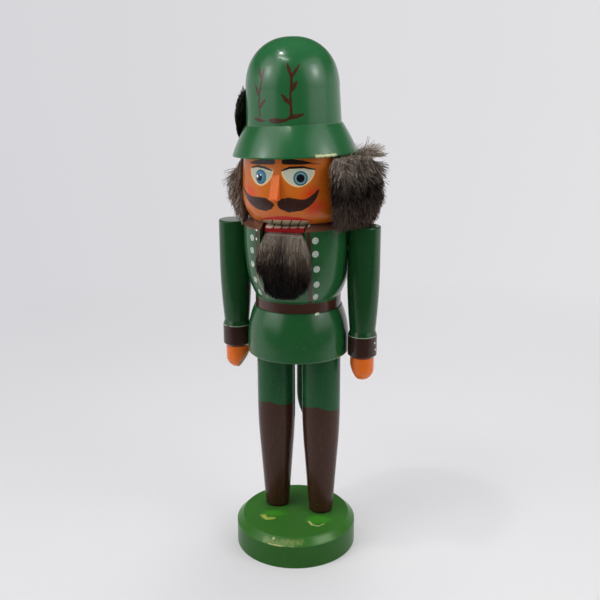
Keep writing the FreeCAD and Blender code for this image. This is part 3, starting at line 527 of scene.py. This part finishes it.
def fur_tree():
    """Geometry Nodes that set tapered hairs on a skin, combed along a direction, with loose ends."""
    tree = bpy.data.node_groups.new("fur", "GeometryNodeTree")
    sockets = tree.interface
    sockets.new_socket("Ground", in_out="INPUT", socket_type="NodeSocketGeometry")
    for name, value in (("Hairs per square metre", 1e6), ("Hair length", 0.01), ("Hair width", 0.0003),
                        ("Lift", 0.3), ("Untidiness", 0.3), ("Curl", 0.2), ("Lowest", 0.0),
                        ("Highest", 1.0), ("Shortest", 0.3)):
        sockets.new_socket(name, in_out="INPUT", socket_type="NodeSocketFloat").default_value = value
    for name in ("Comb below", "Comb above", "Spread"):
        sockets.new_socket(name, in_out="INPUT", socket_type="NodeSocketVector")
    sockets.new_socket("Seed", in_out="INPUT", socket_type="NodeSocketInt")
    sockets.new_socket("Hair colour", in_out="INPUT", socket_type="NodeSocketMaterial")
    sockets.new_socket("Fur", in_out="OUTPUT", socket_type="NodeSocketGeometry")

    def add(kind, settings, inputs):
        made = tree.nodes.new(kind)
        for name, value in settings.items():
            setattr(made, name, value)
        for name, value in inputs.items():
            if isinstance(value, bpy.types.NodeSocket):
                tree.links.new(value, made.inputs[name])
            else:
                made.inputs[name].default_value = value
        return made

    given = tree.nodes.new("NodeGroupInput").outputs
    scattered = add("GeometryNodeDistributePointsOnFaces", {}, {
        "Mesh": given["Ground"], "Density": given["Hairs per square metre"], "Seed": given["Seed"]})
    # One hair: a bowed flat blade along +Z, one metre long and wide before it is scaled.
    bow = add("ShaderNodeCombineXYZ", {}, {0: given["Curl"], 1: 0.0, 2: 0.5})
    hair = add("GeometryNodeCurveQuadraticBezier", {}, {
        "Resolution": 3, "Start": (0, 0, 0), "Middle": bow.outputs[0], "End": (0, 0, 1)})
    along = add("GeometryNodeSplineParameter", {}, {})
    taper = add("ShaderNodeMapRange", {}, {0: along.outputs["Factor"], 1: 0.3, 2: 1.0, 3: 1.0, 4: 0.1})
    hair = add("GeometryNodeSetCurveRadius", {}, {"Curve": hair.outputs[0], "Radius": taper.outputs[0]})
    hair = add("GeometryNodeStoreNamedAttribute", {"data_type": "FLOAT", "domain": "POINT"}, {
        "Geometry": hair.outputs[0], "Name": "hair_length", "Value": along.outputs["Factor"]})
    blade = add("GeometryNodeCurvePrimitiveLine", {}, {"Start": (-0.5, 0, 0), "End": (0.5, 0, 0)})
    hair = add("GeometryNodeCurveToMesh", {}, {"Curve": hair.outputs[0], "Profile Curve": blade.outputs[0]})
    # Direction: combed, lifted off the skin, and untidy in clumps a few millimetres across.
    clumps_per_metre, clump_sway = 190.0, 2.2
    place = add("GeometryNodeInputPosition", {}, {})
    clumps = add("ShaderNodeTexNoise", {}, {"Vector": place.outputs[0], "Scale": clumps_per_metre,
                                            "Detail": 2.0})
    clumps = add("ShaderNodeVectorMath", {"operation": "SUBTRACT"}, {0: clumps.outputs["Color"],
                                                                     1: (0.5, 0.5, 0.5)})
    clumps = add("ShaderNodeVectorMath", {"operation": "SCALE"}, {0: clumps.outputs[0], 3: clump_sway})
    stray = add("FunctionNodeRandomValue", {"data_type": "FLOAT_VECTOR"}, {
        0: (-1, -1, -1), 1: (1, 1, 1), "Seed": given["Seed"]})
    stray = add("ShaderNodeVectorMath", {"operation": "ADD"}, {0: clumps.outputs[0], 1: stray.outputs[0]})
    stray = add("ShaderNodeVectorMath", {"operation": "SCALE"}, {0: stray.outputs[0],
                                                                 3: given["Untidiness"]})
    spread = add("ShaderNodeVectorMath", {"operation": "MULTIPLY"}, {0: place.outputs[0],
                                                                     1: given["Spread"]})
    apart = add("ShaderNodeSeparateXYZ", {}, {0: place.outputs[0]})
    height = add("ShaderNodeMapRange", {}, {0: apart.outputs[2], 1: given["Lowest"], 2: given["Highest"]})
    comb = add("ShaderNodeMix", {"data_type": "VECTOR"}, {0: height.outputs[0], 4: given["Comb below"],
                                                          5: given["Comb above"]})
    way = add("ShaderNodeVectorMath", {"operation": "ADD"}, {0: comb.outputs[1], 1: stray.outputs[0]})
    way = add("ShaderNodeVectorMath", {"operation": "ADD"}, {0: way.outputs[0], 1: spread.outputs[0]})
    way = add("ShaderNodeVectorMath", {"operation": "NORMALIZE"}, {0: way.outputs[0]})
    # A hair never points into the skin: it is raised along the normal until it lies off it by Lift.
    out = add("ShaderNodeVectorMath", {"operation": "DOT_PRODUCT"}, {0: way.outputs[0],
                                                                     1: scattered.outputs["Normal"]})
    # Most hairs keep to 0.6 of Lift, and about one in ten stands well clear of the rest.
    loose = add("FunctionNodeRandomValue", {"data_type": "FLOAT"}, {2: 0.0, 3: 1.0, "Seed": 21})
    loose = add("ShaderNodeMath", {"operation": "POWER"}, {0: loose.outputs[1], 1: 5.0})
    loose = add("ShaderNodeMath", {"operation": "MULTIPLY_ADD"}, {0: loose.outputs[0], 1: 2.2, 2: 0.6})
    rise = add("ShaderNodeMath", {"operation": "MULTIPLY"}, {0: loose.outputs[0], 1: given["Lift"]})
    rise = add("ShaderNodeMath", {"operation": "SUBTRACT"}, {0: rise.outputs[0], 1: out.outputs[1]})
    rise = add("ShaderNodeMath", {"operation": "MAXIMUM"}, {0: rise.outputs[0], 1: 0.0})
    lifted = add("ShaderNodeVectorMath", {"operation": "SCALE"}, {0: scattered.outputs["Normal"],
                                                                  3: rise.outputs[0]})
    way = add("ShaderNodeVectorMath", {"operation": "ADD"}, {0: way.outputs[0], 1: lifted.outputs[0]})
    aimed = add("FunctionNodeAlignRotationToVector", {"axis": "Z"}, {"Vector": way.outputs[0]})
    whole_turn = 6.283
    spin = add("FunctionNodeRandomValue", {"data_type": "FLOAT"}, {2: 0.0, 3: whole_turn, "Seed": 5})
    rolled = add("ShaderNodeCombineXYZ", {}, {2: spin.outputs[1]})
    aimed = add("FunctionNodeRotateRotation", {"rotation_space": "LOCAL"}, {
        0: aimed.outputs[0], 1: rolled.outputs[0]})
    share = add("FunctionNodeRandomValue", {"data_type": "FLOAT"}, {2: 0.45, 3: 1.1, "Seed": 9})
    growth = add("ShaderNodeMapRange", {}, {0: apart.outputs[2], 1: given["Lowest"],
                                            2: given["Highest"], 3: given["Shortest"]})
    tall = add("ShaderNodeMath", {"operation": "MULTIPLY"}, {0: share.outputs[1],
                                                             1: given["Hair length"]})
    tall = add("ShaderNodeMath", {"operation": "MULTIPLY"}, {0: tall.outputs[0], 1: growth.outputs[0]})
    sized = add("ShaderNodeCombineXYZ", {}, {0: tall.outputs[0], 1: given["Hair width"],
                                             2: tall.outputs[0]})
    planted = add("GeometryNodeInstanceOnPoints", {}, {
        "Points": scattered.outputs["Points"], "Instance": hair.outputs[0],
        "Rotation": aimed.outputs[0], "Scale": sized.outputs[0]})
    shade = add("FunctionNodeRandomValue", {"data_type": "FLOAT"}, {2: 0.0, 3: 1.0, "Seed": 13})
    named = add("GeometryNodeStoreNamedAttribute", {"data_type": "FLOAT", "domain": "INSTANCE"}, {
        "Geometry": planted.outputs[0], "Name": "hair_shade", "Value": shade.outputs[1]})
    real = add("GeometryNodeRealizeInstances", {}, {0: named.outputs[0]})
    painted = add("GeometryNodeSetMaterial", {}, {"Geometry": real.outputs[0],
                                                  "Material": given["Hair colour"]})
    tree.links.new(painted.outputs[0], tree.nodes.new("NodeGroupOutput").inputs[0])
    return tree


def grown(name, mesh, tree, settings):
    """The plain mesh that a Geometry Nodes tree makes of a mesh."""
    piece = bpy.data.objects.new(name, mesh)
    bpy.context.scene.collection.objects.link(piece)
    grow = piece.modifiers.new("grow", "NODES")
    grow.node_group = tree
    for item in tree.interface.items_tree:
        if item.in_out == "INPUT" and item.name in settings:
            grow[item.identifier] = settings[item.name]
    evaluated = piece.evaluated_get(bpy.context.evaluated_depsgraph_get())
    made = bpy.data.meshes.new_from_object(evaluated)
    piece.modifiers.clear()
    bpy.data.objects.remove(piece)
    return made


def joined(name, *meshes):
    """One object from several meshes, each with its own materials."""
    whole = bmesh.new()
    materials = []
    for mesh in meshes:
        start = len(whole.faces)
        whole.from_mesh(mesh)
        whole.faces.ensure_lookup_table()
        for face in whole.faces[start:]:
            face.material_index += len(materials)
            face.smooth = True
        materials += list(mesh.materials)
    merged = bpy.data.meshes.new(name)
    whole.to_mesh(merged)
    whole.free()
    for used in materials:
        merged.materials.append(used)
    piece = bpy.data.objects.new(name, merged)
    bpy.context.scene.collection.objects.link(piece)
    return piece


def fur_colour(name, layers, rough, crease, lean):
    """Hair colour by height: streaked, with painted shade that darkens the roots and the skin between the
    hairs, and with single hairs lighter or darker.

    Near the middle the layers lie crease x 9 mm higher, and on the figure's right they slope down,
    by lean mm at 40 mm out.
    """
    material, place = surface(name)
    x, z = place.part("X"), place.part("Z")
    hair = place.node("ShaderNodeAttribute", {"attribute_name": "hair_shade"}, {}, output=2)
    tip = place.node("ShaderNodeAttribute", {"attribute_name": "hair_length"}, {}, output=2)
    drift = (place.cloud((0.07, 0.07, 0.03), 3.0) - 0.5) * 16.0 + (hair - 0.5) * 7.0
    height = z + drift - filled(abs(x - 1.0) - crease, 8.0) * crease * 9.0 - (x / 40.0).low(0.0) * lean
    colour = layers[0][1]
    for level, layer in layers[1:]:
        colour = filled(height - level, 9.0).cover(colour, layer)
    streak = place.cloud((0.8, 0.8, 0.1), 2.0)
    # The streaks are the fur's own colour; the darkening towards the roots and on the bare skin is painted
    # shade among the hairs.
    colour = (streak * 0.30 + (1.0 - tip) * 0.22).cover(colour, tint(20, 14, 11))
    place.shader({"Base Color": colour, "Roughness": streak * 0.2 + rough, "Specular IOR Level": 0.35})
    return material


fur = fur_tree()
hair_layers = ((300.0, tint(168, 155, 142)), (272.0, tint(132, 120, 107)), (264.0, tint(47, 35, 26)),
               (248.0, tint(82, 65, 54)))
hair_colour = fur_colour("hair_fur_colour", hair_layers, 0.55, 0.0, 52.0)
head_axis = Vector((0.0, body_middle / 1000, 0.0))
lumps_per_metre = 160
hat_reach = 0.0415
nape_top, nape_half, nape_front = 0.2480, 0.0190, 0.0200
fullness_from, fullness_over = 0.240, 0.014


def hair_grows(place, normal):
    """Where hairs grow: not under the hat, and not at the nape, where the lever swings up."""
    away = (place - head_axis).to_2d()
    under_hat = normal.z > 0.6 and away.length < hat_reach
    nape = place.z < nape_top and abs(place.x) < nape_half and place.y > nape_front
    return normal.to_2d().dot(away.normalized()) > -0.2 and not under_hat and not nape


def hair_skin(place, normal):
    """Drawn in where the strip bulges, so that the loose ends reach the outline and not the skin."""
    sideways = max(normal.to_2d().dot((place - head_axis).to_2d().normalized()), 0.0)
    upper = min(max((place.z - fullness_from) / fullness_over, 0.0), 1.0)
    drawn_in = 0.0062 if place.x < 0 else 0.0034 + 0.0040 * upper
    inset = 0.0008 + sideways * drawn_in
    return place - normal * inset * (0.85 + 0.45 * noise.noise(place * lumps_per_metre))


leather, ground = pelt("hair_fur", hair_skin, hair_grows)
leather.materials.clear()
leather.materials.append(hair_colour)
hairs = grown("hair", ground, fur, {
    "Hairs per square metre": 3.3e6, "Hair length": 0.0125, "Hair width": 0.00028, "Lift": 0.18,
    "Untidiness": 0.16, "Curl": 0.12, "Lowest": 0.236, "Highest": 0.266, "Shortest": 0.6,
    "Comb below": (0.0, -0.30, -1.0), "Comb above": (0.0, -0.42, -0.60), "Spread": (3.0, 20.0, 0.0),
    "Seed": 3, "Hair colour": hair_colour})
hair = joined("hair", leather, hairs)
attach(hair, "figure")
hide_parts("hair_fur")


# The beard is a patch of the same fur, glued to the front of the jaw. It hangs down combed
# smooth, grey-brown at the lip, brown in the middle and glossy black at the round tip.
beard_layers = ((300.0, tint(150, 137, 121)), (219.0, tint(98, 83, 70)), (212.0, tint(50, 37, 29)),
                (205.0, tint(26, 17, 13)), (197.0, tint(11, 9, 8)))
beard_colour = fur_colour("beard_fur_colour", beard_layers, 0.3, 1.5, 0.0)
beard_front, blunt_below, waist_height, waist_spread = -0.0205, 0.1950, 0.2048, 0.0068


def beard_grows(place, normal):
    """Where hairs grow: in front, and not on the patch's top edge."""
    return place.y < beard_front and normal.y < -0.1 and normal.z < 0.85


def beard_skin(place, normal):
    """Drawn in all round, with a waist on the figure's right, and blunt at the tip."""
    place = place - normal * 0.0013 * (0.8 + 0.5 * noise.noise(place * lumps_per_metre))
    blunt = 1.0 + 0.22 * min(max((blunt_below - place.z) / 0.006, 0.0), 1.0)
    if place.x < 0:
        place.x *= 0.88 - 0.32 * math.exp(-((place.z - waist_height) / waist_spread) ** 2)
    else:
        place.x *= 1.08
    place.x *= blunt
    return place


leather, ground = pelt("beard_fur", beard_skin, beard_grows)
leather.materials.clear()
leather.materials.append(beard_colour)
hairs = grown("beard", ground, fur, {
    "Hairs per square metre": 1.1e7, "Hair length": 0.0085, "Hair width": 0.00020, "Lift": 0.05,
    "Untidiness": 0.05, "Curl": 0.04, "Lowest": 0.187, "Highest": 0.205, "Shortest": 0.15,
    "Comb below": (0.0, 0.0, -1.0), "Comb above": (0.0, 0.0, -1.0), "Spread": (8.0, 0.0, 0.0),
    "Seed": 8, "Hair colour": beard_colour})
beard = joined("beard", leather, hairs)
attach(beard, "beard")
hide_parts("beard_fur")


# The feather is black with a worn greyish fringe. Its quill is stuck in the brim, and its vane
# is bowed, with the rear edge curled in against the crown.
vane_half = 7.4


def on_feather(t, w):
    """Place on the vane in millimetres, t from quill to tip and w from the front edge to the rear."""
    low, middle, tip = Vector((-40.2, 7.2, 286.6)), Vector((-41.6, 6.6, 302.0)), Vector((-36.0, 9.0, 315.6))
    shaft = low * (1 - t) ** 2 + middle * 2 * t * (1 - t) + tip * t * t
    half = vane_half * math.sin(math.pi * (0.06 + 0.88 * t)) ** 0.7
    curl = w * w * (4.2 if w > 0 else 0.6)
    return shaft + Vector((curl * (0.3 + 0.7 * half / vane_half), w * half, 0.0))


def feather_vane():
    """The vane, a closed leaf that is thickest at the shaft, and its halves in front and behind."""
    leaf = bmesh.new()
    rows, columns = 24, 12
    sides = []
    for face in (-1, 1):
        grid = []
        for i in range(rows + 1):
            row = []
            for j in range(columns + 1):
                t, w = i / rows, j / columns * 2 - 1
                if face > 0 and (i in (0, rows) or j in (0, columns)):
                    row.append(sides[0][i][j])
                    continue
                thick = 0.45 * (1 - abs(w)) * face
                row.append(leaf.verts.new((on_feather(t, w) + Vector((thick, 0, 0))) / 1000))
            grid.append(row)
        sides.append(grid)
        for i in range(rows):
            for j in range(columns):
                corners = [grid[i][j], grid[i + 1][j], grid[i + 1][j + 1], grid[i][j + 1]]
                leaf.faces.new(corners if face < 0 else corners[::-1])
    bmesh.ops.recalc_face_normals(leaf, faces=leaf.faces)
    vane = bpy.data.meshes.new("vane")
    leaf.to_mesh(vane)
    grounds = []
    for sign in (-1, 1):
        half = leaf.copy()
        spare = [f for f in half.faces if (f.calc_center_median().y - body_middle / 1000) * sign < 0]
        bmesh.ops.delete(half, geom=spare, context="FACES")
        ground = bpy.data.meshes.new("vane_ground")
        half.to_mesh(ground)
        half.free()
        grounds.append(ground)
    leaf.free()
    return vane, grounds


def feather_shaft():
    """The quill and shaft, a tapered round stem."""
    stem = bmesh.new()
    rings = []
    for i in range(17):
        t = i / 16
        middle = on_feather(t, 0.0) if i else Vector((-39.9, 7.4, 284.4))
        radius = 0.75 - 0.55 * t
        ring = []
        for k in range(8):
            angle = math.tau * k / 8
            out = Vector((math.cos(angle) * radius, math.sin(angle) * radius, 0))
            ring.append(stem.verts.new((middle + out) / 1000))
        rings.append(ring)
    for low, high in zip(rings, rings[1:]):
        for k in range(8):
            stem.faces.new((low[k], low[(k + 1) % 8], high[(k + 1) % 8], high[k]))
    stem.faces.new(rings[0][::-1])
    stem.faces.new(rings[-1])
    made = bpy.data.meshes.new("shaft")
    stem.to_mesh(made)
    stem.free()
    return made


material, place = surface("feather_black")
y, z = place.part("Y"), place.part("Z")
barb = place.node("ShaderNodeAttribute", {"attribute_name": "hair_shade"}, {}, output=2)
tip = place.node("ShaderNodeAttribute", {"attribute_name": "hair_length"}, {}, output=2)
fringe = filled(4.5 - tip * 4.0 + y * 0.45 + (barb - 0.5) * 4.0, 5.0) * filled(303.0 - z, 10.0)
colour = (barb * 0.8).cover(tint(62, 66, 50), tint(26, 29, 23))
colour = (fringe * 0.8).cover(colour, tint(118, 112, 94))
place.shader({"Base Color": colour, "Roughness": barb * 0.2 + 0.38, "Specular IOR Level": 0.35})
vane, grounds = feather_vane()
barbs = []
for ground, sign in zip(grounds, (-1, 1)):
    barbs.append(grown("barbs", ground, fur, {
        "Hairs per square metre": 4.0e6, "Hair length": 0.0060, "Hair width": 0.00030, "Lift": 0.05,
        "Untidiness": 0.03, "Curl": 0.06, "Lowest": 0.286, "Highest": 0.292, "Shortest": 0.5,
        "Comb below": (0.0, sign * 0.5, 1.0), "Comb above": (0.0, sign * 0.6, 1.0),
        "Spread": (0.0, 0.0, 0.0), "Seed": 4, "Hair colour": material}))
stem = feather_shaft()
for plain in (vane, stem):
    plain.materials.append(material)
feather = joined("hat_feather", vane, stem, *barbs)
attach(feather, "figure")
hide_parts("feather")


# Plain pale table and backdrop in one: near the figure it takes shadows, and far off it is the
# even pale grey of the room.
def ahead_and_right(x, y):
    """How far a place or a direction lies ahead in the room, towards the viewer, and to the right."""
    return x * 0.31 - y * 0.95, x * 0.95 + y * 0.31


def rays(place):
    """Whether a ray comes from the camera, from any reflection, and from a perfectly sharp one."""
    return [place.node("ShaderNodeLightPath", {}, {}, output=f"Is {kind} Ray")
            for kind in ("Camera", "Glossy", "Singular")]


def room_grey(right, dim):
    """The room's even pale grey, a little lighter to the right, and dark where it is dim."""
    pale = (right * 1.4 + 0.5).limited().cover(tint(214, 213, 217), tint(226, 225, 227))
    return dim.cover(pale, tint(66, 64, 62))


table = bpy.data.meshes.new("table")
sheet = bmesh.new()
bmesh.ops.create_circle(sheet, cap_ends=True, segments=96, radius=12.0)
sheet.to_mesh(table)
sheet.free()
table = bpy.data.objects.new("table", table)
bpy.context.scene.collection.objects.link(table)
material, place = surface("pale_table")
x, y = place.part("X"), place.part("Y")
away = (x * x + y * y) ** 0.5
grain = place.cloud((0.02, 0.02, 0.02), 3.0)
grey = grain.cover(tint(211, 210, 211), tint(214, 213, 214))
near = place.node("ShaderNodeBsdfDiffuse", {}, {"Color": grey})
camera_ray, mirror_ray, sharp_ray = rays(place)
# In front of the table the room is dim, so the lacquer's middle stays dark and its edges go pale.
ahead, right = ahead_and_right(x, y)
dim = ((ahead - 60.0) / 300.0).limited() * mirror_ray
far = place.node("ShaderNodeEmission", {}, {"Color": room_grey(right / (away + 300.0), dim)})
faded = ((away - 120.0) / 700.0).limited() * 0.65 + 0.35
faded = faded * camera_ray.high(mirror_ray).high(sharp_ray)
faded = faded.high(dim)
cloth = faded.node("ShaderNodeMixShader", {}, {0: faded, 1: near, 2: far})
cloth.node("ShaderNodeOutputMaterial", {}, {"Surface": cloth})
table.data.materials.append(material)

# The room round the table, in the same pale grey, dim in front and overhead in reflections.
world = bpy.data.worlds.new("room")
bpy.context.scene.world = world
world.use_nodes = True
world.node_tree.nodes.clear()
way = Shade(world.node_tree.nodes.new("ShaderNodeTexCoord").outputs["Generated"])
camera_ray, mirror_ray, sharp_ray = rays(way)
ahead, right = ahead_and_right(way.part("X"), way.part("Y"))
dim = ((ahead + 0.15) / 0.5).high((way.part("Z") - 0.12) / 0.25).limited() * mirror_ray
# The pale backdrop lights the figure from behind and the sides, and the dim room in front hardly.
seen = camera_ray.high(mirror_ray).high(sharp_ray)
in_room = ((ahead + 0.15) / 0.8).limited()
strength = seen.high(0.66 - in_room * 0.54)
room = strength.node("ShaderNodeBackground", {}, {"Color": room_grey(right, dim), "Strength": strength})
room.node("ShaderNodeOutputWorld", {}, {"Surface": room})


# Two soft boxes at the camera's left and right, brightest in their middle, a small lamp and a
# narrow strip lamp high on its left, and a lamp above and behind that shows in no reflection.
def soft_light(name, turn, height, away, wide, tall, watts, hot, aim):
    """A lamp behind white cloth, so many degrees round from the front and so many metres away."""
    angle = math.radians(turn)
    lamp = bpy.data.lights.new(name, "AREA")
    lamp.shape = "RECTANGLE"
    lamp.size = wide
    lamp.size_y = tall
    lamp.energy = watts
    lamp.use_nodes = True
    lamp.node_tree.nodes.clear()
    across = Shade(lamp.node_tree.nodes.new("ShaderNodeNewGeometry").outputs["Parametric"])
    u, v = across.part("X") - 0.5, across.part("Y") - 0.5
    cloth = (1.0 - (u * 2.0) ** 4.0) * (1.0 - (v * 2.0) ** 4.0)
    middle = (1.0 - (u * u + v * v) ** 0.5 * 2.0).limited()
    glow = across.node("ShaderNodeEmission", {}, {"Strength": cloth * 1.2 + middle ** 6.0 * hot})
    glow.node("ShaderNodeOutputLight", {}, {"Surface": glow})
    holder = bpy.data.objects.new(name, lamp)
    bpy.context.scene.collection.objects.link(holder)
    holder.location = (math.sin(angle) * away, -math.cos(angle) * away, height)
    holder.rotation_euler = (Vector(aim) - holder.location).to_track_quat("-Z", "Y").to_euler()
    return holder


soft_light("left_box", -48, 0.72, 0.90, 1.15, 1.20, 5.8, 8.5, (0, 0, 0.25))
soft_light("right_box", 79, 0.74, 0.90, 1.15, 1.20, 5.2, 14.0, (0, 0, 0.25))
soft_light("high_lamp", -52, 1.62, 0.52, 0.09, 0.09, 3.4, 12.0, (0, 0, 0.25))
soft_light("strip_lamp", -20, 1.45, 0.70, 0.70, 0.04, 3.0, 4.0, (0, 0, 0.25))
top = soft_light("top_light", 180, 1.40, 0.40, 0.90, 0.90, 6.0, 12.0, (0, 0, 0.15))
top.visible_glossy = False


# The camera stands in front and a little to the figure's left, looking down at it. Its place, its
# tilt and its focal length are those of the photograph.
camera_away, camera_height = 0.544048, 0.328622
focal_pixels, picture_pixels, film_width = 830.124, 600, 36.0
yaw, pan, pitch, roll = (math.radians(a) for a in (18.0769, -0.3683, 15.3084, -0.1792))
stand = Vector((math.sin(yaw) * camera_away, -math.cos(yaw) * camera_away, camera_height))
level = Matrix.Rotation(pan, 2) @ Vector((-math.sin(yaw), math.cos(yaw)))
look = Vector((level.x * math.cos(pitch), level.y * math.cos(pitch), -math.sin(pitch)))
right = look.cross(Vector((0, 0, 1))).normalized()
upward = right.cross(look)
right, upward = (right * math.cos(roll) + upward * math.sin(roll),
                 upward * math.cos(roll) - right * math.sin(roll))
camera = bpy.data.objects.new("camera", bpy.data.cameras.new("camera"))
bpy.context.scene.collection.objects.link(camera)
camera.data.sensor_width = film_width
camera.data.lens = focal_pixels / picture_pixels * film_width
camera.data.clip_start = 0.01
camera.data.clip_end = 50.0
camera.matrix_world = Matrix.Translation(stand) @ Matrix((right, upward, -look)).transposed().to_4x4()
bpy.context.scene.camera = camera
bpy.context.scene.view_settings.view_transform = "Standard"

bpy.context.view_layer.update()
